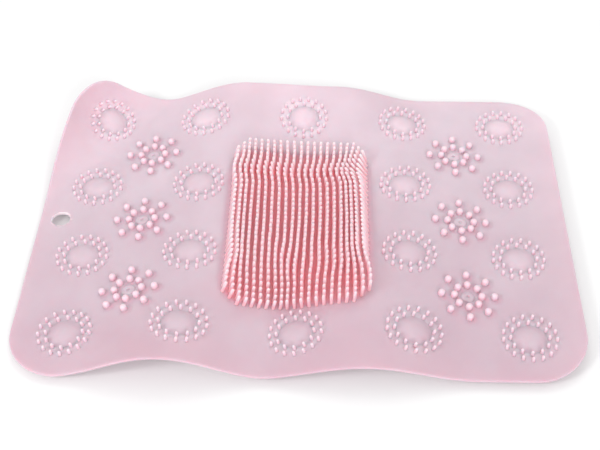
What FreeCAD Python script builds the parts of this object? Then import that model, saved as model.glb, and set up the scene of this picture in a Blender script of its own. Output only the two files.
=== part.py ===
"""Foot massage mat: one soft moulding, lying in the waves and the curled corner that it is pictured in.

Millimetres, +Z up. The origin is on the floor under the middle of the mat, X along its length, Y to its far edge.
"""
import FreeCAD, Part
import math
import os

Vector = FreeCAD.Vector

doc = FreeCAD.newDocument("foot_massage_mat")
sizes = doc.addObject("Spreadsheet::Sheet", "sizes")

SIZES = [
    # The sheet, measured over its waves as it lies
    ("mat_length", 398, "end to end"),
    ("mat_width", 290, "front to back"),
    ("corner_radius", 38, "rounding of the four corners"),
    ("sheet_thickness", 2.2, "wall of the moulded sheet"),
    # Left fold: a ridge from the near edge to the far edge
    ("left_fold_place", -70, "X of its crest at mid width"),
    ("left_fold_slant", 0.15, "how far the crest moves to +X for each unit of Y"),
    ("left_fold_reach", 76, "from crest to foot"),
    ("left_fold_near", 20.5, "height at the near edge"),
    ("left_fold_middle", 6, "height at mid width"),
    ("left_fold_far", 20.5, "height at the far edge"),
    # Right fold: a ridge that dies out towards the far edge
    ("right_fold_place", 69, "X of its crest at mid width"),
    ("right_fold_slant", 0.15, "how far the crest moves to +X for each unit of Y"),
    ("right_fold_reach", 77, "from crest to foot"),
    ("right_fold_near", 13, "height at the near edge"),
    ("right_fold_middle", 7, "height at mid width"),
    ("right_fold_far", 0.5, "height at the far edge"),
    # Swell: the far edge also rises to the right of the left fold
    ("swell_place", 26, "X of its top"),
    ("swell_reach", 73, "from top to foot along the edge"),
    ("swell_depth", 99, "how far it runs in from the far edge"),
    ("swell_height", 16, "height at the far edge"),
    # Right edge, which lifts a little
    ("right_lift_start", 165, "X where it leaves the floor"),
    ("right_lift_height", 3.7, "height at the edge"),
    # Far left corner, curled up about a slanting line
    ("curl_angle", 33, "degrees from the length to the way that the corner points"),
    ("curl_start", 167.5, "from the mat's middle to the line where the curl starts"),
    ("curl_radius", 46, "radius that it is curled to"),
    # Grid that the rosettes and the flowers stand on
    ("end_inset", 39, "end of the mat to the middle of the outer rosettes"),
    ("side_inset", 35.5, "side of the mat to the middle of the outer rosettes"),
    # Rosette: a smooth dome over each suction cup
    ("dome_radius", 10, "dome at the sheet"),
    ("dome_top_radius", 5, "flat top of the dome at this stage"),
    ("dome_height", 3, "dome above the sheet"),
    # Suction cup under each dome
    ("cup_height", 5, "rim to sheet, so the flat parts of the sheet stand this high"),
    ("cup_rim_radius", 12, "at the floor"),
    ("cup_neck_radius", 7, "where it leaves the sheet"),
    ("cup_rim_wall", 1.2, "width of the rim's ring"),
    ("cup_hollow_depth", 4.2, "depth of the hollow, which runs to a point"),
    ("cup_grip", 1.5, "lift of the sheet up to which a cup still holds the floor"),
    # Flower: a low disc and two rings of nubs
    ("disc_radius", 5, "disc in the middle of a flower"),
    ("disc_height", 0.6, "disc above the sheet"),
    ("flower_inner_radius", 10, "ring of the inner nubs"),
    ("flower_outer_radius", 19, "ring of the outer nubs"),
    ("nub_radius", 2.2, "foot of a nub"),
    ("nub_height", 4, "nub above the sheet"),
    # Bristle block: three-sided rods at this stage, moulded with the sheet
    ("bristle_pitch", 5, "bristle to bristle, both ways"),
    ("bristle_radius", 1.6, "centre to corner of a bristle"),
    ("bristle_height", 13, "bristle above the sheet"),
    ("block_place_x", -1.5, "X of the block's middle"),
    ("block_place_y", -5, "Y of the block's middle"),
    # How the soft bristles lean, as the way that a tip stands off the sheet's normal
    ("side_lean", 3.6, "to the side, in a wave across the block"),
    ("side_lean_repeat", 96, "length of that wave"),
    ("kink_lean", 2.3, "to the left, along one line across the block"),
    ("kink_place", 43, "Y of that line"),
    ("kink_reach", 16, "from the line to where the kink ends"),
    ("near_spread", 2.6, "outwards at the block's near corners"),
    ("near_lean", 3.5, "towards the near edge, at the block's near end"),
    ("near_reach", 45, "from the near end to where both of these end"),
    # Hanging hole near the left edge
    ("hole_radius", 7, "wall of the hole"),
    ("hole_inset", 16, "left edge to hole centre"),
    ("hole_place", 2, "Y of the hole centre"),
    # How deep each form is rooted in the sheet
    ("root_depth", 1, "form below the sheet's surface"),
]
for row, (alias, value, note) in enumerate(SIZES, start=1):
    sizes.set(f"A{row}", alias)
    sizes.set(f"B{row}", str(value))
    sizes.set(f"C{row}", note)
    sizes.setAlias(f"B{row}", alias)
doc.recompute()


def size(alias):
    return float(getattr(sizes, alias))


BRISTLE_COLUMNS = 21
BRISTLE_ROWS = 33
BRISTLES_OFF_CORNER = 2
CELL_COLUMNS = 4
CELL_ROWS = 8
ROSETTE_COLUMNS = (-2, -1, 0, 1, 2)
ROSETTE_ROWS = (-1.5, -0.5, 0.5, 1.5)
FLOWER_COLUMNS = (-1.5, 1.5)
FLOWER_ROWS = (-1, 0, 1)
NUBS_IN_RING = 8
NUB_SIDES = 4
ROUND_SIDES = 6
CORNER_TURNS = (18, 42, 66, 90)

half_length = size("mat_length") / 2
half_width = size("mat_width") / 2
column_pitch = (size("mat_length") - 2 * size("end_inset")) / (len(ROSETTE_COLUMNS) - 1)
row_pitch = (size("mat_width") - 2 * size("side_inset")) / (len(ROSETTE_ROWS) - 1)


# The waves of the sheet
def swell_curve(distance, reach):
    """1 at the crest, 0 from the foot on, and level at both."""
    return math.cos(math.pi / 2 * min(abs(distance) / reach, 1)) ** 2


def along_crest(share, near, middle, far):
    """A height that takes these three values at share -1, 0 and 1 of the half width."""
    return middle + (far - near) / 2 * share + ((far + near) / 2 - middle) * share**2


def fold_height(x, y, fold):
    crest = size(fold + "_place") + size(fold + "_slant") * y
    top = along_crest(y / half_width, size(fold + "_near"), size(fold + "_middle"), size(fold + "_far"))
    return top * swell_curve(x - crest, size(fold + "_reach"))


def lift(x, y):
    """Height of the sheet's underside over its flat parts, before the corner is curled."""
    z = fold_height(x, y, "left_fold") + fold_height(x, y, "right_fold")
    z += (
        size("swell_height")
        * swell_curve(x - size("swell_place"), size("swell_reach"))
        * swell_curve(half_width - y, size("swell_depth"))
    )
    start = size("right_lift_start")
    beyond = max(x - start, 0) / (half_length - start)
    return z + size("right_lift_height") * (1 - math.cos(math.pi / 2 * beyond))


def underside(x, y):
    """The point of the sheet's underside for a plan position on the flat mat."""
    angle = math.radians(size("curl_angle"))
    way = Vector(-math.cos(angle), math.sin(angle), 0)
    radius = size("curl_radius")
    past = max(x * way.x + y * way.y - size("curl_start"), 0)
    pull = past - radius * math.sin(past / radius)
    rise = radius * (1 - math.cos(past / radius))
    return Vector(x, y, size("cup_height") + lift(x, y) + rise) - way * pull


def axes_at(x, y):
    """Unit vectors along the length, across it and out of the sheet, at a plan position."""
    step = 0.5
    along = underside(x + step, y) - underside(x - step, y)
    across = underside(x, y + step) - underside(x, y - step)
    out = along.cross(across).normalize()
    along.normalize()
    return along, out.cross(along), out


# Flat-faced solids
def flat_face(points):
    return Part.Face(Part.makePolygon(points + points[:1]))


def solid_of(faces):
    solid = Part.Solid(Part.Shell(faces))
    if solid.Volume < 0:
        solid.reverse()
    return solid


def copies(form, placements):
    placed = []
    for placement in placements:
        copy = form.copy()
        copy.Placement = placement
        placed.append(copy)
    return Part.makeCompound(placed)


def feature(name, shape):
    made = doc.addObject("Part::Feature", name)
    made.Shape = shape
    made.Label = name
    return made


# Waved sheet, in flat facets whose lines run between the bristles
def half_width_at(x):
    radius = size("corner_radius")
    into_corner = max(abs(x) - (half_length - radius), 0)
    return half_width - radius + math.sqrt(max(radius**2 - into_corner**2, 0))


def facet_lines_along():
    """X of the lines: every four bristles in the block, clear of the domes outside it, then the corners."""
    cell = CELL_COLUMNS * size("bristle_pitch")
    first_gap = size("block_place_x") + (CELL_COLUMNS + 1) / 2 * size("bristle_pitch")
    lines = [first_gap + k * cell for k in range(-3, 3)]
    clear = size("dome_radius")
    gap = column_pitch - 2 * clear
    straight = half_length - size("corner_radius")
    for side in (-1, 1):
        for x in (column_pitch - clear, column_pitch + clear):
            lines.append(side * x)
        for share in (1 / 3, 2 / 3, 1):
            lines.append(side * (column_pitch + clear + gap * share))
        for turn in CORNER_TURNS:
            lines.append(side * (straight + size("corner_radius") * math.sin(math.radians(turn))))
    return sorted(lines)


def facet_lines_across():
    """Y of the lines: every eight bristles, between two rows, then one more before the far edge."""
    cell = CELL_ROWS * size("bristle_pitch")
    first_gap = size("block_place_y") + (CELL_ROWS + 1) / 2 * size("bristle_pitch")
    lines = [first_gap + k * cell for k in range(-3, 3)]
    return [-half_width] + lines + [(lines[-1] + half_width) / 2, half_width]


xs, ys = facet_lines_along(), facet_lines_across()
low, top = [], []
for x in xs:
    narrowing = half_width_at(x) / half_width
    low.append([underside(x, y * narrowing) for y in ys])
    outs = [axes_at(x, y * narrowing)[2] for y in ys]
    top.append([point + out * size("sheet_thickness") for point, out in zip(low[-1], outs)])


def waved_sheet():
    faces = []

    def cell(a, b, c, d):
        """Two flat triangles over four corners, split from the first to the third."""
        faces.append(flat_face([a, b, c]))
        faces.append(flat_face([a, c, d]))

    last_i, last_j = len(xs) - 1, len(ys) - 1
    for i in range(last_i):
        for j in range(last_j):
            for layer in (low, top):
                cell(layer[i][j], layer[i + 1][j], layer[i + 1][j + 1], layer[i][j + 1])
    border = [(i, 0) for i in range(last_i)] + [(last_i, j) for j in range(last_j)]
    border += [(i, last_j) for i in range(last_i, 0, -1)] + [(0, j) for j in range(last_j, 0, -1)]
    for (i, j), (k, n) in zip(border, border[1:] + border[:1]):
        cell(low[i][j], low[k][n], top[k][n], top[i][j])
    return solid_of(faces)


def cell_at(x, y):
    """The facet cell of a plan position away from the rounded corners, and the share across it."""
    i = max(k for k in range(len(xs) - 1) if xs[k] <= x)
    j = max(k for k in range(len(ys) - 1) if ys[k] <= y)
    return i, j, (x - xs[i]) / (xs[i + 1] - xs[i]), (y - ys[j]) / (ys[j + 1] - ys[j])


def on_facets(layer, x, y):
    i, j, u, v = cell_at(x, y)
    a, b, c, d = layer[i][j], layer[i + 1][j], layer[i + 1][j + 1], layer[i][j + 1]
    if v < u:
        return a + (b - a) * u + (c - b) * v
    return a + (d - a) * v + (c - d) * u


def seat(layer, x, y, height):
    """Placement on the sheet: its Z leaves the sheet, and it stands this high over the layer."""
    along, across, out = axes_at(x, y)
    return FreeCAD.Placement(on_facets(layer, x, y) + out * height, FreeCAD.Rotation(along, across, out))


def ring(sides, radius, height=0):
    turns = [2 * math.pi * (k + 0.5) / sides for k in range(sides)]
    return [Vector(radius * math.cos(t), radius * math.sin(t), height) for t in turns]


def drum(start, end):
    """A closed form between two flat rings of points."""
    faces = [flat_face(start), flat_face(end)]
    for k in range(len(start)):
        n = (k + 1) % len(start)
        faces.append(flat_face([start[k], start[n], end[n], end[k]]))
    return solid_of(faces)


def pointed(foot, tip):
    """A closed form from a flat ring of points up to one tip."""
    faces = [flat_face(foot)]
    for a, b in zip(foot, foot[1:] + foot[:1]):
        faces.append(flat_face([a, b, tip]))
    return solid_of(faces)


sheet = feature("waved_sheet", waved_sheet())

# Bristle block: the form is a three-sided rod, rooted in the sheet
bristle = doc.addObject("Part::Prism", "bristle_form")
bristle.Polygon = 3
bristle.setExpression("Circumradius", "sizes.bristle_radius")
bristle.setExpression("Height", "sizes.bristle_height + sizes.root_depth")
doc.recompute()


def bristle_places():
    places = []
    for i in range(BRISTLE_COLUMNS):
        for j in range(BRISTLE_ROWS):
            from_end = min(i, BRISTLE_COLUMNS - 1 - i)
            from_side = min(j, BRISTLE_ROWS - 1 - j)
            if from_end + from_side < BRISTLES_OFF_CORNER:
                continue
            x = size("block_place_x") + (i - (BRISTLE_COLUMNS - 1) / 2) * size("bristle_pitch")
            y = size("block_place_y") + (j - (BRISTLE_ROWS - 1) / 2) * size("bristle_pitch")
            places.append((x, y))
    return places


def bristle_lean(x, y):
    """How far a bristle's tip stands off the sheet's normal, along the length and across it."""
    from_middle = x - size("block_place_x")
    near_end = size("block_place_y") - (BRISTLE_ROWS - 1) / 2 * size("bristle_pitch")
    half_block = (BRISTLE_COLUMNS - 1) / 2 * size("bristle_pitch")
    nearness = swell_curve(y - near_end, size("near_reach"))
    aside = size("side_lean") * math.sin(2 * math.pi * from_middle / size("side_lean_repeat"))
    aside -= size("kink_lean") * swell_curve(y - size("kink_place"), size("kink_reach"))
    aside += size("near_spread") * nearness * from_middle / half_block
    return aside, -size("near_lean") * nearness


def bristle_seat(x, y):
    """The rod's placement: a flat side faces the split of the facet cell, so no rod crosses it."""
    along, across, out = axes_at(x, y)
    aside, ahead = bristle_lean(x, y)
    axis = (out * size("bristle_height") + along * aside + across * ahead).normalize()
    i, j, u, v = cell_at(x, y)
    split = math.degrees(math.atan2(ys[j + 1] - ys[j], xs[i + 1] - xs[i]))
    turned = FreeCAD.Rotation(Vector(0, 0, 1), split - 90 if v < u else split + 90)
    foot = on_facets(top, x, y) - axis * size("root_depth")
    return FreeCAD.Placement(foot, FreeCAD.Rotation(along, across, axis).multiply(turned))


bristles = feature("bristle_block", copies(bristle.Shape, [bristle_seat(x, y) for x, y in bristle_places()]))

# Rosettes: a dome on top and a suction cup under it
rosette_places = []
for column in ROSETTE_COLUMNS:
    for row in ROSETTE_ROWS:
        if column != 0 or abs(row) > 1:
            rosette_places.append((column * column_pitch, row * row_pitch))


dome_form = drum(
    ring(ROUND_SIDES, size("dome_radius"), -size("root_depth")),
    ring(ROUND_SIDES, size("dome_top_radius"), size("dome_height")),
)
domes = feature("domes", copies(dome_form, [seat(top, x, y, 0) for x, y in rosette_places]))


def suction_cup(height):
    """A cup on its rim; its neck ends this high, inside the sheet."""
    inside_rim = size("cup_rim_radius") - size("cup_rim_wall")
    hollow = pointed(ring(ROUND_SIDES, inside_rim), Vector(0, 0, size("cup_hollow_depth")))
    rim = ring(ROUND_SIDES, size("cup_rim_radius"))
    return drum(rim, ring(ROUND_SIDES, size("cup_neck_radius"), height)).cut(hollow)


cups_placed = []
for x, y in rosette_places:
    foot = on_facets(low, x, y)
    if foot.z - size("cup_height") < size("cup_grip"):
        # Where the sheet lies low, the rim stands level on the floor
        cup = suction_cup(foot.z + size("root_depth"))
        cup.Placement = FreeCAD.Placement(Vector(foot.x, foot.y, 0), FreeCAD.Rotation())
    else:
        cup = suction_cup(size("cup_height") + size("root_depth"))
        cup.Placement = seat(low, x, y, -size("cup_height"))
    cups_placed.append(cup)
cups = feature("suction_cups", Part.makeCompound(cups_placed))

# Flowers: a low disc, then eight pointed nubs in each of two rings, on the same eight directions
disc_form = drum(
    ring(ROUND_SIDES, size("disc_radius"), -size("root_depth")),
    ring(ROUND_SIDES, size("disc_radius"), size("disc_height")),
)
disc_places, nub_places = [], []
for column in FLOWER_COLUMNS:
    for row in FLOWER_ROWS:
        disc_places.append(seat(top, column * column_pitch, row * row_pitch, 0))
        for flower_radius in ("flower_inner_radius", "flower_outer_radius"):
            for k in range(NUBS_IN_RING):
                turn = 2 * math.pi * k / NUBS_IN_RING
                x = column * column_pitch + size(flower_radius) * math.cos(turn)
                y = row * row_pitch + size(flower_radius) * math.sin(turn)
                nub_places.append(seat(top, x, y, -size("root_depth")))
nub_tip = Vector(0, 0, size("root_depth") + size("nub_height"))
nub_form = pointed(ring(NUB_SIDES, size("nub_radius")), nub_tip)
discs = feature("flower_discs", copies(disc_form, disc_places))
nubs = feature("flower_nubs", copies(nub_form, nub_places))

# One moulding, with the hanging hole through it
hole = doc.addObject("Part::Cylinder", "hanging_hole")
hole.setExpression("Radius", "sizes.hole_radius")
hole.setExpression("Height", "4 * sizes.sheet_thickness")
hole.setExpression("Placement.Base.x", "sizes.hole_inset - sizes.mat_length / 2")
hole.setExpression("Placement.Base.y", "sizes.hole_place")
hole.setExpression("Placement.Base.z", "sizes.cup_height - sizes.sheet_thickness")
doc.recompute()

moulding = sheet.Shape.fuse([bristles.Shape, domes.Shape, cups.Shape, discs.Shape, nubs.Shape])
mat = feature("mat", moulding.cut(hole.Shape))
doc.recompute()

# Every object has to be sound before anything is written
for made in doc.Objects:
    if "Invalid" in made.State or "Error" in made.State:
        raise RuntimeError(f"{made.Name} failed: {made.State}")
if mat.Shape.isNull() or not mat.Shape.isValid():
    raise RuntimeError("the mat's shape is not valid")
if len(mat.Shape.Solids) != 1:
    raise RuntimeError(f"the mat is {len(mat.Shape.Solids)} solids, and it should be one")

os.makedirs("parts", exist_ok=True)
mat.Shape.exportStep(f"parts/{mat.Label}.step")
box = mat.Shape.BoundBox
print(f"mat: {len(mat.Shape.Faces)} faces, {mat.Shape.Volume / 1000:.1f} cm3")
print(f"box: {box.XMin:.2f} {box.XMax:.2f}  {box.YMin:.2f} {box.YMax:.2f}  {box.ZMin:.2f} {box.ZMax:.2f}")
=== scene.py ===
"""Foot massage mat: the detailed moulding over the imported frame, a pale floor, soft light and the camera.

Forms are worked out in millimetres, in the frame's axes, and turned into metres when a mesh is made.
"""
import bpy
import math
import random
from mathutils import Matrix, Vector


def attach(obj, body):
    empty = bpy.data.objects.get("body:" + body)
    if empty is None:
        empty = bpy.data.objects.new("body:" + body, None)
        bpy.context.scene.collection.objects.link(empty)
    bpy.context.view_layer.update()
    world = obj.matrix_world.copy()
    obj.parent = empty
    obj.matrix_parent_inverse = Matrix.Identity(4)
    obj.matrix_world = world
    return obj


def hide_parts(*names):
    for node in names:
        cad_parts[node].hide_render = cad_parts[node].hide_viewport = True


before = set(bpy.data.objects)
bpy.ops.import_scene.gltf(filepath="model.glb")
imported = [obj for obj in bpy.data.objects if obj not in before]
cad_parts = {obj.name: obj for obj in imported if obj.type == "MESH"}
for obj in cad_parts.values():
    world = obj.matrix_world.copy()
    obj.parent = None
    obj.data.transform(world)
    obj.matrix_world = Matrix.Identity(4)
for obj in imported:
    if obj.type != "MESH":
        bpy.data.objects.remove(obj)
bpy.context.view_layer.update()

# Sheet: one soft moulding, 2.2 mm thick, of pale pink thermoplastic elastomer. It lies in two folds, with a
# swell at the far edge, a right edge that lifts a little and a far left corner that curls up. Its sizes are
# the ones that the solid is built from.
MAT_LENGTH = 398
MAT_WIDTH = 290
CORNER_RADIUS = 38
SHEET_THICKNESS = 2.2
CUP_HEIGHT = 5
LEFT_FOLD = {"place": -70, "slant": 0.15, "reach": 76, "near": 20.5, "middle": 6, "far": 20.5}
RIGHT_FOLD = {"place": 69, "slant": 0.15, "reach": 77, "near": 13, "middle": 7, "far": 0.5}
SWELL = {"place": 26, "reach": 73, "depth": 99, "height": 16}
RIGHT_LIFT = {"start": 165, "height": 3.7}
CURL = {"angle": math.radians(33), "start": 167.5, "radius": 46}
MM = 0.001


def swell_curve(distance, reach):
    """1 at the crest, 0 from the foot on, and level at both."""
    return math.cos(math.pi / 2 * min(abs(distance) / reach, 1)) ** 2


def fold_height(x, y, fold):
    share = y / (MAT_WIDTH / 2)
    near, middle, far = fold["near"], fold["middle"], fold["far"]
    crest = middle + (far - near) / 2 * share + ((far + near) / 2 - middle) * share**2
    return crest * swell_curve(x - fold["place"] - fold["slant"] * y, fold["reach"])


def underside(x, y):
    """The point of the sheet's underside for a plan position on the flat mat."""
    z = CUP_HEIGHT + fold_height(x, y, LEFT_FOLD) + fold_height(x, y, RIGHT_FOLD)
    far_edge = swell_curve(MAT_WIDTH / 2 - y, SWELL["depth"])
    z += SWELL["height"] * swell_curve(x - SWELL["place"], SWELL["reach"]) * far_edge
    beyond = max(x - RIGHT_LIFT["start"], 0) / (MAT_LENGTH / 2 - RIGHT_LIFT["start"])
    z += RIGHT_LIFT["height"] * (1 - math.cos(math.pi / 2 * beyond))
    way = Vector((-math.cos(CURL["angle"]), math.sin(CURL["angle"]), 0))
    past = max(x * way.x + y * way.y - CURL["start"], 0)
    turned = past / CURL["radius"]
    pull = past - CURL["radius"] * math.sin(turned)
    return Vector((x, y, z + CURL["radius"] * (1 - math.cos(turned)))) - way * pull


def axes_at(x, y):
    """Unit vectors along the length, across it and out of the sheet."""
    near_by = 0.5
    along = underside(x + near_by, y) - underside(x - near_by, y)
    across = underside(x, y + near_by) - underside(x, y - near_by)
    out = along.cross(across).normalized()
    along.normalize()
    return along, out.cross(along), out


def over_sheet(x, y, height):
    """A point this high over the top of the sheet."""
    return underside(x, y) + axes_at(x, y)[2] * (SHEET_THICKNESS + height)


class Form:
    """Points in millimetres, faces, and how deep each point lies in the painted shade and light."""

    def __init__(self):
        self.points = []
        self.faces = []
        self.depths = []

    def add_ring(self, points, depth):
        first = len(self.points)
        self.points.extend(points)
        self.depths.extend([depth] * len(points))
        return list(range(first, len(self.points)))

    def bridge(self, low, high):
        """A band of faces between two rings of as many points."""
        count = len(low)
        for k in range(count):
            n = (k + 1) % count
            self.faces.append((low[k], low[n], high[n], high[k]))

    def fan(self, ring, tip, depth):
        """A cap of triangles from a ring to one point."""
        centre = self.add_ring([tip], depth)[0]
        for k in range(len(ring)):
            self.faces.append((ring[k], ring[(k + 1) % len(ring)], centre))

    def piece(self, name, material):
        """The form as an object, smooth but for the edges of 50 degrees and more."""
        mesh = bpy.data.meshes.new(name)
        mesh.from_pydata([p * MM for p in self.points], [], self.faces)
        depth = mesh.attributes.new("depth", "FLOAT", "POINT")
        depth.data.foreach_set("value", self.depths)
        mesh.materials.append(material)
        mesh.shade_smooth()
        mesh.set_sharp_from_angle(angle=math.radians(50))
        made = bpy.data.objects.new(name, mesh)
        bpy.context.scene.collection.objects.link(made)
        return made


def on_the_mat(made):
    """A piece that rides on the mat's body, takes its slot and stands for its solid."""
    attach(made, "root")
    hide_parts("mat")


# Depth of painted shade: 0 on rims and tips, painted as catching the light, OPEN on the bare sheet, 1 at
# the foot of the bristles, painted deepest in shade and warm bounced light. The soft material reads it as a
# point attribute. The sheet takes it from where the bristles, studs and nubs stand, so their places come
# first.
OPEN = 0.15
SHEET_EDGE = 0.14
# The bristles stand 5.2 mm apart along the mat's length and 5 mm across it
BRISTLE_PITCH = (5.2, 5)
BLOCK_COLUMNS = 21
BLOCK_ROWS = 33
BLOCK_MIDDLE = (-1.5, -5)
HALF_BLOCK = (
    (BLOCK_COLUMNS - 1) / 2 * BRISTLE_PITCH[0],
    (BLOCK_ROWS - 1) / 2 * BRISTLE_PITCH[1],
)
BLOCK_SHADE = {"corner": 12, "end_reach": 24, "at_side": 0.5, "end_drop": 0.3, "side_fade": 12, "end_fade": 5}
BLOCK_END_PALER = 0.45
BLOCK_SHADE_CURVE = 1.4
# Painted light: the sheet round each rosette's studs is painted paler, against the shade between them
PAINTED_LIGHT_ROUND_STUDS = {"radius": 16, "reach": 7, "paler": 0.055}
# Painted shadow of each nub on the sheet, to its right and near side
NUB_SHADOW = {"right": 1.8, "near": 1.2, "reach": 5.5, "deeper": 0.22}

COLUMN_PITCH = 80
ROW_PITCH = 73
ROSETTES = []
for column in (-2, -1, 0, 1, 2):
    for row in (-1.5, -0.5, 0.5, 1.5):
        if column != 0 or abs(row) > 1:
            ROSETTES.append((column * COLUMN_PITCH, row * ROW_PITCH))
FLOWERS = [(c * COLUMN_PITCH, r * ROW_PITCH) for c in (-1.5, 1.5) for r in (-1, 0, 1)]
NUB_RINGS = (10, 19.2)
NUBS_IN_RING = 8


def ring_offsets(sides, radius, turn=0):
    turns = [turn + 2 * math.pi * k / sides for k in range(sides)]
    return [(radius * math.cos(t), radius * math.sin(t)) for t in turns]


NUB_FEET = [
    (x + u, y + v) for x, y in FLOWERS for r in NUB_RINGS for u, v in ring_offsets(NUBS_IN_RING, r)
]


def block_shade(x, y):
    """Painted shade and warm bounced light: deep among the bristles, paler at the ends of the block, and
    fading out past its sides.
    """
    corner = BLOCK_SHADE["corner"]
    u = max(abs(x - BLOCK_MIDDLE[0]) - HALF_BLOCK[0] + corner, 0)
    v = max(abs(y - BLOCK_MIDDLE[1]) - HALF_BLOCK[1] + corner, 0)
    outside = math.hypot(u, v) - corner
    from_end = max(HALF_BLOCK[1] - abs(y - BLOCK_MIDDLE[1]), 0)
    at_ends = swell_curve(from_end, BLOCK_SHADE["end_reach"])
    fade = BLOCK_SHADE["side_fade"] - (BLOCK_SHADE["side_fade"] - BLOCK_SHADE["end_fade"]) * at_ends
    deep = BLOCK_SHADE["at_side"] - BLOCK_SHADE["end_drop"] * at_ends - outside / fade
    deep = max(0.0, min(1.0, deep))
    return (1 - OPEN) * (1 - BLOCK_END_PALER * at_ends) * deep**BLOCK_SHADE_CURVE


def sheet_shade(x, y):
    """Painted shade on the sheet over its bare colour: deep among the bristles, painted light round the
    studs, painted shadows of the nubs.
    """
    depth = OPEN + block_shade(x, y)
    depth -= PAINTED_LIGHT_ROUND_STUDS["paler"] * max(
        swell_curve(math.hypot(x - u, y - v) - PAINTED_LIGHT_ROUND_STUDS["radius"], PAINTED_LIGHT_ROUND_STUDS["reach"])
        for u, v in ROSETTES
    )
    for u, v in NUB_FEET:
        away = math.hypot(x - u - NUB_SHADOW["right"], y - v + NUB_SHADOW["near"])
        if away < NUB_SHADOW["reach"]:
            depth += NUB_SHADOW["deeper"] * swell_curve(away, NUB_SHADOW["reach"])
    return min(depth, 1)


EDGE_ROUND = SHEET_THICKNESS / 2
CELLS_TO_CORNER = 64
CELLS_ACROSS = 112


def sheet_form():
    """One skin over a plan grid, top and underside, with a fully rounded edge."""
    form = Form()
    half_length = MAT_LENGTH / 2 - EDGE_ROUND
    half_width = MAT_WIDTH / 2 - EDGE_ROUND
    radius = CORNER_RADIUS - EDGE_ROUND
    straight = half_length - radius
    xs = [straight * k / CELLS_TO_CORNER for k in range(CELLS_TO_CORNER + 1)]
    xs += [straight + radius * math.sin(math.radians(a)) for a in range(6, 91, 6)]
    xs = [-x for x in reversed(xs[1:])] + xs
    shares = [2 * k / CELLS_ACROSS - 1 for k in range(CELLS_ACROSS + 1)]

    def reach_at(x):
        into = max(abs(x) - straight, 0)
        return half_width - radius + math.sqrt(max(radius**2 - into**2, 0))

    plan = [[(x, share * reach_at(x)) for share in shares] for x in xs]
    layers = {}
    for name, height in (("low", -SHEET_THICKNESS), ("top", 0)):
        layers[name] = []
        for line in plan:
            first = len(form.points)
            for x, y in line:
                form.points.append(over_sheet(x, y, height))
                form.depths.append(sheet_shade(x, y) if name == "top" else OPEN)
            layers[name].append(list(range(first, first + len(line))))
    top, low = layers["top"], layers["low"]
    for i in range(len(xs) - 1):
        for j in range(CELLS_ACROSS):
            form.faces.append((top[i][j], top[i + 1][j], top[i + 1][j + 1], top[i][j + 1]))
            form.faces.append((low[i][j + 1], low[i + 1][j + 1], low[i + 1][j], low[i][j]))
    last_i, last_j = len(xs) - 1, CELLS_ACROSS
    border = [(i, 0) for i in range(last_i)] + [(last_i, j) for j in range(last_j)]
    border += [(i, last_j) for i in range(last_i, 0, -1)] + [(0, j) for j in range(last_j, 0, -1)]

    def outward(i, j):
        """The way out of the mat, in plan, at a point of its border."""
        x, y = plan[i][j]
        u = max(abs(x) - straight, 0) * (1 if x > 0 else -1)
        v = max(abs(y) - (half_width - radius), 0) * (1 if y > 0 else -1)
        if u == 0 and v == 0:
            u, v = (x, 0) if i in (0, last_i) else (0, y)
        length = math.hypot(u, v)
        return u / length, v / length

    rows = [[top[i][j] for i, j in border]]
    for turn in (60, 30, 0, -30, -60):
        out_by = EDGE_ROUND * math.cos(math.radians(turn))
        height = EDGE_ROUND * math.sin(math.radians(turn)) - EDGE_ROUND
        points = []
        for i, j in border:
            u, v = outward(i, j)
            points.append(over_sheet(plan[i][j][0] + u * out_by, plan[i][j][1] + v * out_by, height))
        rows.append(form.add_ring(points, SHEET_EDGE))
    rows.append([low[i][j] for i, j in border])
    for upper, lower in zip(rows, rows[1:]):
        form.bridge(lower, upper)
    return form


# Thermoplastic elastomer, injection moulded with a fine matt finish: translucent, so light goes on inside it
# and warms its feet and gaps, which are also painted a warmer pink as painted shade and bounced light, with
# soft highlights. Its three blends are shades of one material, for the bare sheet, the thick nubs and studs,
# and the slim bristles.
def linear(hex_colour):
    """An sRGB hex colour as the linear values that shaders take."""
    channels = [int(hex_colour[k:k + 2], 16) / 255 for k in (1, 3, 5)]
    return [c / 12.92 if c <= 0.04045 else ((c + 0.055) / 1.055) ** 2.4 for c in channels] + [1]


def add_node(tree, kind, inputs, **settings):
    """A node with its settings; each input takes a value or another node's output."""
    made = tree.nodes.new(kind)
    for name, value in settings.items():
        setattr(made, name, value)
    for name, value in inputs.items():
        if isinstance(value, bpy.types.NodeSocket):
            tree.links.new(value, made.inputs[name])
        else:
            made.inputs[name].default_value = value
    return made


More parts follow.
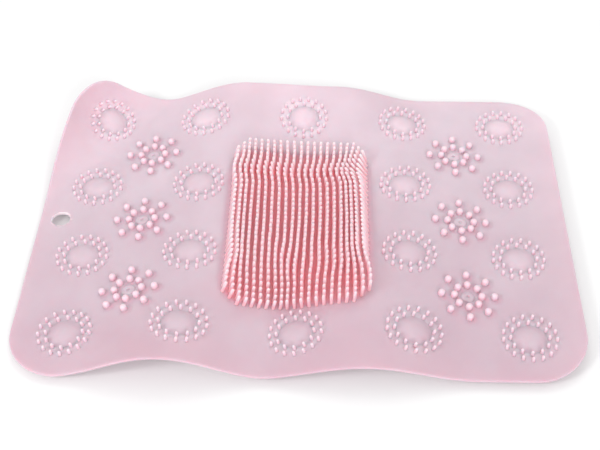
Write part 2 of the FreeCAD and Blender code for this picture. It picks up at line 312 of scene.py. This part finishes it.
def soft_elastomer(name, stops, glow):
    """Matt translucent polymer; its colour runs through the stops with the depth of painted shade."""
    cloud_size, cloud_drift = 45, 0.03
    # How much painted shade deepens the colour towards the near edge
    near_shade_drift = 0.06
    grain_size, grain_depth = 1.1, 0.2
    material = bpy.data.materials.new(name)
    material.use_nodes = True
    tree = material.node_tree
    tree.nodes.clear()
    place = add_node(tree, "ShaderNodeTexCoord", {}).outputs["Object"]
    depth = add_node(tree, "ShaderNodeAttribute", {}, attribute_name="depth").outputs["Fac"]
    # Slow clouds, a few centimetres wide, where the moulding is a little thicker or thinner
    clouds = add_node(
        tree, "ShaderNodeTexNoise", {"Vector": place, "Scale": 1000 / cloud_size, "Detail": 3}
    )
    drift = add_node(
        tree,
        "ShaderNodeMapRange",
        {
            "Value": clouds.outputs["Fac"],
            "From Min": 0.3,
            "From Max": 0.7,
            "To Min": -cloud_drift,
            "To Max": cloud_drift,
        },
    )
    # Painted shade: the near half is painted a little deeper and pinker than the far half
    across = add_node(tree, "ShaderNodeSeparateXYZ", {"Vector": place}).outputs["Y"]
    near_painted_shade = add_node(
        tree,
        "ShaderNodeMapRange",
        {
            "Value": across,
            "From Min": -MAT_WIDTH / 2 * MM,
            "From Max": MAT_WIDTH / 2 * MM,
            "To Min": near_shade_drift,
            "To Max": -near_shade_drift,
        },
    )
    mottle_and_near_shade = add_node(
        tree,
        "ShaderNodeMath",
        {0: drift.outputs["Result"], 1: near_painted_shade.outputs["Result"]},
        operation="ADD",
    )
    level = add_node(tree, "ShaderNodeMath", {0: depth, 1: mottle_and_near_shade.outputs[0]}, operation="ADD")
    tint = add_node(tree, "ShaderNodeValToRGB", {"Fac": level.outputs[0]})
    ramp = tint.color_ramp
    while len(ramp.elements) < len(stops):
        ramp.elements.new(1)
    for element, (position, colour) in zip(ramp.elements, stops):
        element.position = position
        element.color = linear(colour)
    # The real grain is finer than a pixel, so it is drawn coarse enough to break up the gloss
    grain = add_node(
        tree, "ShaderNodeTexNoise", {"Vector": place, "Scale": 1000 / grain_size, "Detail": 2}
    )
    bump = add_node(
        tree,
        "ShaderNodeBump",
        {"Height": grain.outputs["Fac"], "Strength": 0.35, "Distance": grain_depth * MM},
    )
    gloss = add_node(
        tree, "ShaderNodeMapRange", {"Value": grain.outputs["Fac"], "To Min": 0.38, "To Max": 0.5}
    )
    # Red light goes furthest in it. The IOR is a little under that of such elastomers, for a soft gloss
    shader = add_node(
        tree,
        "ShaderNodeBsdfPrincipled",
        {
            "Base Color": tint.outputs["Color"],
            "Roughness": gloss.outputs["Result"],
            "Normal": bump.outputs["Normal"],
            "Subsurface Weight": glow,
            "Subsurface Radius": (1.0, 0.42, 0.5),
            "Subsurface Scale": 0.005,
            "IOR": 1.42,
        },
    )
    add_node(tree, "ShaderNodeOutputMaterial", {"Surface": shader.outputs["BSDF"]})
    return material


# Each ramp runs from painted light at depth 0, through the bare colour, to painted shade and warm bounced
# light at 1
SHEET_STOPS = [
    (0.0, "#FFE6EE"), (0.08, "#E0CBD5"), (0.15, "#D5C0CA"), (0.22, "#CFB4C0"), (0.42, "#DDABBA"),
    (0.7, "#F8AEB7"), (1.0, "#FFA3AC")
]
NUB_STOPS = [(0.0, "#F0D6DF"), (0.5, "#EBC8D3"), (1.0, "#E0B2C0")]
BRISTLE_STOPS = [(0.0, "#FFE4E9"), (0.15, "#FFD1D8"), (0.5, "#FFC0C6"), (1.0, "#FF9EA4")]
sheet_polymer = soft_elastomer("moulded_elastomer_sheet", SHEET_STOPS, 0.7)
nub_polymer = soft_elastomer("moulded_elastomer_nub", NUB_STOPS, 0.7)
bristle_polymer = soft_elastomer("moulded_elastomer_bristle", BRISTLE_STOPS, 0.6)

sheet = sheet_form().piece("mat_sheet", sheet_polymer)

# Hanging hole near the left edge: punched straight through the sheet where it lies flat, for a hook to
# hang the wet mat from. Its wall is plain.
HOLE_RADIUS = 7
HOLE_PLACE = (-183, 2)
HOLE_SIDES = 64
CUTTER_LENGTH = 20
bpy.ops.mesh.primitive_cylinder_add(
    vertices=HOLE_SIDES,
    radius=HOLE_RADIUS * MM,
    depth=CUTTER_LENGTH * MM,
    location=(HOLE_PLACE[0] * MM, HOLE_PLACE[1] * MM, CUP_HEIGHT * MM),
)
cutter = bpy.context.object
cut = sheet.modifiers.new("hanging_hole", "BOOLEAN")
cut.operation = "DIFFERENCE"
cut.solver = "EXACT"
cut.object = cutter
graph = bpy.context.evaluated_depsgraph_get()
holed = bpy.data.meshes.new_from_object(sheet.evaluated_get(graph))
sheet.modifiers.clear()
sheet.data = holed
sheet.data.materials.clear()
sheet.data.materials.append(sheet_polymer)
bpy.data.objects.remove(cutter)
on_the_mat(sheet)


# Rosettes: a low smooth dome over each suction cup, with two rings of small round-topped studs about it. All
# are part of the moulding and stand straight off the sheet as it waves.
def draped(form, x, y, sides, profile):
    """A low round form that follows the sheet: (radius, height, depth of painted shade) rings up to its
    middle.
    """
    below = None
    for radius, height, depth in profile[:-1]:
        points = [over_sheet(x + u, y + v, height) for u, v in ring_offsets(sides, radius)]
        ring = form.add_ring(points, depth)
        if below:
            form.bridge(below, ring)
        below = ring
    form.fan(below, over_sheet(x, y, profile[-1][1]), profile[-1][2])


def upright(form, x, y, sides, profile, lean=(0, 0)):
    """A slim round form that stands on the sheet; lean is how far it leans for each unit of its length."""
    along, across, out = axes_at(x, y)
    axis = (out + along * lean[0] + across * lean[1]).normalized()
    foot = underside(x, y) + out * SHEET_THICKNESS
    below = None
    for radius, height, depth in profile[:-1]:
        middle = foot + axis * height
        points = [middle + along * u + across * v for u, v in ring_offsets(sides, radius)]
        ring = form.add_ring(points, depth)
        if below:
            form.bridge(below, ring)
        below = ring
    form.fan(below, foot + axis * profile[-1][1], profile[-1][2])


DOME_SIDES = 40
# Rings of (radius, height, depth of painted shade): the top is painted a little lighter than the foot
dome_profile = [
    (12.4, -0.05, 0.15), (11.6, 0.08, 0.15), (10.6, 0.3, 0.15), (9.4, 0.75, 0.14), (8.1, 1.3, 0.13),
    (6.7, 1.85, 0.12), (5.2, 2.3, 0.12), (3.5, 2.6, 0.12), (1.8, 2.75, 0.12), (0, 2.8, 0.12)
]
domes = Form()
for x, y in ROSETTES:
    draped(domes, x, y, DOME_SIDES, dome_profile)
on_the_mat(domes.piece("mat_domes", sheet_polymer))

# Each ring has a stud at its near end: its radius, its number of studs and where the first one stands
STUD_RINGS = ((13.4, 12, 0), (18.5, 17, -math.pi / 2))
STUD_SIDES = 10
# Rings of (radius, height, depth of painted shade): the feet are painted in shade, the tops painted light
stud_profile = [
    (1.5, -0.1, 0.9), (1.15, 0.3, 0.7), (1.1, 1.5, 0.4), (1.08, 2.6, 0.15), (1.02, 3.3, 0.0),
    (0.72, 3.85, 0.0), (0, 4.1, 0.0)
]
studs = Form()
for x, y in ROSETTES:
    for radius, count, first in STUD_RINGS:
        for u, v in ring_offsets(count, radius, first):
            upright(studs, x + u, y + v, STUD_SIDES, stud_profile)
on_the_mat(studs.piece("mat_studs", nub_polymer))

# Flowers: two rings of eight thick nubs with ball tops, round a low disc with a pinhole in it, where the
# moulding was pushed out of its tool. The nubs stand far enough apart to press singly into the sole.
NUB_SIDES = 14
DISC_SIDES = 24
# Rings of (radius, height, depth of painted shade): the feet are painted in shade, the ball tops painted
# light
nub_profile = [
    (2.8, -0.1, 1.0), (2.4, 0.25, 0.9), (2.4, 1.2, 0.6), (2.44, 2.1, 0.3), (2.25, 3.0, 0.1),
    (1.8, 3.65, 0.05), (1.1, 4.08, 0.05), (0.5, 4.26, 0.05), (0, 4.3, 0.05)
]
# The disc's pinhole is painted deeper inside, as painted shade
disc_profile = [
    (5.1, -0.05, 0.18), (4.8, 0.3, 0.18), (4.4, 0.55, 0.14), (1.5, 0.6, 0.13), (1.15, 0.4, 0.35),
    (0.9, -0.5, 0.75), (0, -0.8, 0.9)
]
nubs = Form()
discs = Form()
for x, y in FLOWERS:
    draped(discs, x, y, DISC_SIDES, disc_profile)
for x, y in NUB_FEET:
    upright(nubs, x, y, NUB_SIDES, nub_profile)
on_the_mat(nubs.piece("mat_nubs", nub_polymer))
on_the_mat(discs.piece("mat_flower_discs", sheet_polymer))

# Bristle block: 681 slim round bristles with rounded tips, drawn out of the tool in one piece with the
# sheet. They are soft, so they lean in waves: the columns sway together, two creases run over them, and the
# side columns are pressed in but for the near and far rows.
BRISTLE_SIDES = 10
BRISTLE_HEIGHT = 13
BRISTLES_OFF_CORNER = 2
# Rings of (radius, height, depth of painted shade): the feet are painted deepest in shade and bounced light,
# the upper body painted lightest and the rounded tips a little deeper, to even out how the light falls on
# them
bristle_profile = [
    (1.6, -0.3, 1.0), (1.35, 0.3, 1.0), (1.27, 1.1, 0.95), (1.27, 4.5, 0.7), (1.27, 6.8, 0.36),
    (1.25, 8.4, 0.1), (1.24, 9.6, 0.0), (1.22, 11.5, 0.0), (1.08, 12.4, 0.08), (0.76, 12.83, 0.14),
    (0.32, 12.98, 0.15), (0, 13, 0.15)
]
# Each move of the tips to the right: where it is, how far it reaches and how far it shifts them
NEAR_END = 32
FAR_END = 25
LONG_SWAY = {"mean": 1.45, "swing": 2.35, "calmer_near": 0.95, "wave": 114}
NEAR_GATHER = {"place": -12, "reach": 16, "shift": 1.3}
FAR_RETURN = {"left_of": -5, "left_reach": 40, "from_y": 60, "reach": 75, "shift": -2.2}
STRAIGHT_CREASE = {"y": 44, "reach": 15, "shift": -2.3}
CREASE_ON_RIGHT = {"place": 35, "reach": 35, "shift": -1.3}
SLANTED_CREASE = {"y": -56, "slant": 0.8, "reach": 20, "place": -6, "width": 22, "shift": -1.5}
SLANT_RETURN = {"y": -52, "reach": 16, "place": 24, "width": 26, "shift": 1.1}
PRESS_START = {"near_rows": 13, "reach": 34}
RIGHT_PRESS = {"reach": 23, "shift": -5.4, "far_reach": 22, "far_share": 0.9}
LEFT_PRESS = {"reach": 14, "shift": 1.9, "least": 0.4, "y": -46, "y_reach": 26, "y_shift": 1.5}
# Their moves towards the far end, and how unevenly single bristles stand
FORWARD = {"near": -1.7, "swing": -1.8, "wave": 95, "y": 10}
FAR_FORWARD = {"place": 5, "reach": 45, "shift": 3.2, "mean": -1.8}
SWAY_SPREAD = 0.015


def bristle_lean(x, y):
    """How far a bristle's tip stands off the sheet's normal, along the length and across it."""
    from_middle = x - BLOCK_MIDDLE[0]
    from_near = y - BLOCK_MIDDLE[1] + HALF_BLOCK[1]
    from_far = 2 * HALF_BLOCK[1] - from_near
    nearness = swell_curve(from_near, NEAR_END)
    farness = swell_curve(from_far, FAR_END)
    # One long sway over the columns, which swings less at the near end and comes back at the far end
    swing = LONG_SWAY["swing"] - LONG_SWAY["calmer_near"] * nearness
    aside = LONG_SWAY["mean"] + swing * math.sin(2 * math.pi * from_middle / LONG_SWAY["wave"])
    gather = swell_curve(from_middle - NEAR_GATHER["place"], NEAR_GATHER["reach"])
    aside += NEAR_GATHER["shift"] * nearness * gather
    on_right = swell_curve(min(from_middle - FAR_RETURN["left_of"], 0), FAR_RETURN["left_reach"])
    towards_far = swell_curve(max(FAR_RETURN["from_y"] - y, 0), FAR_RETURN["reach"])
    aside += FAR_RETURN["shift"] * on_right * towards_far
    # Two creases run over the block: one straight, one on the slant
    more = swell_curve(from_middle - CREASE_ON_RIGHT["place"], CREASE_ON_RIGHT["reach"])
    shift = STRAIGHT_CREASE["shift"] + CREASE_ON_RIGHT["shift"] * more
    aside += shift * swell_curve(y - STRAIGHT_CREASE["y"], STRAIGHT_CREASE["reach"])
    slanted = y - SLANTED_CREASE["y"] + SLANTED_CREASE["slant"] * from_middle
    on_slant = swell_curve(from_middle - SLANTED_CREASE["place"], SLANTED_CREASE["width"])
    aside += SLANTED_CREASE["shift"] * swell_curve(slanted, SLANTED_CREASE["reach"]) * on_slant
    returned = swell_curve(from_middle - SLANT_RETURN["place"], SLANT_RETURN["width"])
    aside += SLANT_RETURN["shift"] * swell_curve(y - SLANT_RETURN["y"], SLANT_RETURN["reach"]) * returned
    # Past the near rows both sides are pressed in, most of all on the right
    pressed = 1 - swell_curve(max(from_near - PRESS_START["near_rows"], 0), PRESS_START["reach"])
    freed = RIGHT_PRESS["far_share"] * swell_curve(max(from_far, 0), RIGHT_PRESS["far_reach"])
    at_right = swell_curve(HALF_BLOCK[0] - from_middle, RIGHT_PRESS["reach"])
    aside += RIGHT_PRESS["shift"] * pressed * (1 - freed) * at_right
    left_shift = LEFT_PRESS["shift"] * pressed + LEFT_PRESS["least"]
    left_shift += LEFT_PRESS["y_shift"] * swell_curve(y - LEFT_PRESS["y"], LEFT_PRESS["y_reach"])
    aside += left_shift * swell_curve(HALF_BLOCK[0] + from_middle, LEFT_PRESS["reach"])
    # One wave towards the far end and back, with both ends of the block splayed a little
    ahead = FORWARD["near"] * nearness
    ahead += FORWARD["swing"] * math.cos(2 * math.pi * (y - FORWARD["y"]) / FORWARD["wave"])
    forward = FAR_FORWARD["shift"] * swell_curve(from_middle - FAR_FORWARD["place"], FAR_FORWARD["reach"])
    ahead += farness * (forward + FAR_FORWARD["mean"])
    return aside, ahead


def share_in_shade(i, j):
    """The outer bristles stand in the light down to their feet, so they take less of the warm shade."""
    least, columns_in, rows_in = 0.35, 2, 5
    in_columns = min(i, BLOCK_COLUMNS - 1 - i) / columns_in
    in_rows = min(j + 0.5, BLOCK_ROWS - 1 - j) / rows_in
    return least + (1 - least) * min(1, in_columns, in_rows)


sway = random.Random(5)
bristles = Form()
for i in range(BLOCK_COLUMNS):
    for j in range(BLOCK_ROWS):
        if min(i, BLOCK_COLUMNS - 1 - i) + min(j, BLOCK_ROWS - 1 - j) < BRISTLES_OFF_CORNER:
            continue
        x = BLOCK_MIDDLE[0] + i * BRISTLE_PITCH[0] - HALF_BLOCK[0]
        y = BLOCK_MIDDLE[1] + j * BRISTLE_PITCH[1] - HALF_BLOCK[1]
        lean = [
            shift / BRISTLE_HEIGHT + sway.uniform(-SWAY_SPREAD, SWAY_SPREAD) for shift in bristle_lean(x, y)
        ]
        share = share_in_shade(i, j)
        shaded = [(radius, height, depth * share) for radius, height, depth in bristle_profile]
        upright(bristles, x, y, BRISTLE_SIDES, shaded, lean)
on_the_mat(bristles.piece("mat_bristles", bristle_polymer))

# Suction cups under the rosettes: thin bells of the same moulding that hold the wet floor. Where the sheet
# lies low they stand level on it, and where it waves up they hang off it, free.
CUP_GRIP = 1.5
CUP_ROOF = 1.05
CUP_SIDES = 36
cup_outside = [(7.0, 1.0), (7.1, 0.3), (8.2, -1.2), (10.2, -3.4), (11.6, -4.6), (12.0, -4.9)]
cup_inside = [(11.7, -5.0), (11.2, -4.9), (9.6, -3.7), (7.0, -2.3), (4.0, -1.4), (1.6, -1.1)]
cups = Form()
for x, y in ROSETTES:
    along, across, out = axes_at(x, y)
    foot = underside(x, y)
    stretch = 1
    if foot.z - CUP_HEIGHT < CUP_GRIP:
        along, across, out = Vector((1, 0, 0)), Vector((0, 1, 0)), Vector((0, 0, 1))
        stretch = foot.z / CUP_HEIGHT
    below = None
    for radius, height in cup_outside + cup_inside:
        middle = foot + out * height * (stretch if height < 0 else 1)
        points = [middle + along * u + across * v for u, v in ring_offsets(CUP_SIDES, radius)]
        ring = cups.add_ring(points, OPEN)
        if below:
            cups.bridge(below[::-1], ring[::-1])
        below = ring
    cups.fan(below[::-1], foot - out * CUP_ROOF, OPEN)
on_the_mat(cups.piece("mat_suction_cups", sheet_polymer))


# Stage: a floor of white paper, matt with faint fibres, under an even white sky. A soft lamp at the front
# left gives the nubs their small shadows on the right, which painted shadows on the sheet deepen; a broad one
# hangs above the far edge, and a large one stands well in front.
def white_paper():
    fibre_size = 12
    material = bpy.data.materials.new("white_paper")
    material.use_nodes = True
    tree = material.node_tree
    tree.nodes.clear()
    place = add_node(tree, "ShaderNodeTexCoord", {}).outputs["Object"]
    # Paper fibres are finer than a pixel, so their clumps are drawn, 12 mm wide
    fibres = add_node(
        tree, "ShaderNodeTexNoise", {"Vector": place, "Scale": 1000 / fibre_size, "Detail": 4}
    )
    tone = add_node(
        tree, "ShaderNodeMapRange", {"Value": fibres.outputs["Fac"], "To Min": 0.86, "To Max": 0.94}
    )
    shader = add_node(
        tree,
        "ShaderNodeBsdfPrincipled",
        {"Base Color": linear("#FAFAFA"), "Roughness": tone.outputs["Result"]},
    )
    add_node(tree, "ShaderNodeOutputMaterial", {"Surface": shader.outputs["BSDF"]})
    return material


FLOOR_WIDTH = 6
SKY_STRENGTH = 0.7
bpy.ops.mesh.primitive_plane_add(size=FLOOR_WIDTH, location=(0, 0, 0))
floor = bpy.context.object
floor.name = "floor"
floor.data.materials.append(white_paper())

world = bpy.data.worlds.new("studio")
world.use_nodes = True
sky = world.node_tree.nodes["Background"]
sky.inputs["Color"].default_value = linear("#FFFFFF")
sky.inputs["Strength"].default_value = SKY_STRENGTH
bpy.context.scene.world = world
bpy.context.scene.view_settings.view_transform = "Standard"


def soft_light(name, place, power, width):
    """A square lamp, in metres and watts, that faces the middle of the mat."""
    light = bpy.data.lights.new(name, "AREA")
    light.shape = "SQUARE"
    light.size = width
    light.energy = power
    made = bpy.data.objects.new(name, light)
    made.location = place
    made.rotation_euler = (-Vector(place)).to_track_quat("-Z", "Y").to_euler()
    bpy.context.scene.collection.objects.link(made)


soft_light("key_left", (-0.9, -0.7, 0.85), 5.0, 0.3)
soft_light("far_overhead", (0.05, 0.4, 0.7), 1.3, 0.6)
soft_light("front_fill", (0.9, -2.6, 1.5), 33, 1.2)

# Camera: it stands in front of the mat at the photograph's angle, turned a little to the right and rolled
# a little, with a lens of 66 mm on a 36 mm wide sensor. Angles in radians, places in metres.
azimuth, elevation, roll = 0.045, 0.798, -0.024
aim = Vector((-0.0006, 0.0047, 0))
distance = 0.8413
back = Vector((
    math.sin(azimuth) * math.cos(elevation),
    -math.cos(azimuth) * math.cos(elevation),
    math.sin(elevation),
))
level_right = Vector((math.cos(azimuth), math.sin(azimuth), 0))
level_up = back.cross(level_right)
right = level_right * math.cos(roll) + level_up * math.sin(roll)
up = level_up * math.cos(roll) - level_right * math.sin(roll)
lens = bpy.data.cameras.new("camera")
lens.sensor_width = 36
lens.lens = 66
lens.clip_start = 0.01
camera = bpy.data.objects.new("camera", lens)
facing = Matrix((right, up, back)).transposed().to_4x4()
camera.matrix_world = Matrix.Translation(aim + back * distance) @ facing
bpy.context.scene.collection.objects.link(camera)
bpy.context.scene.camera = camera
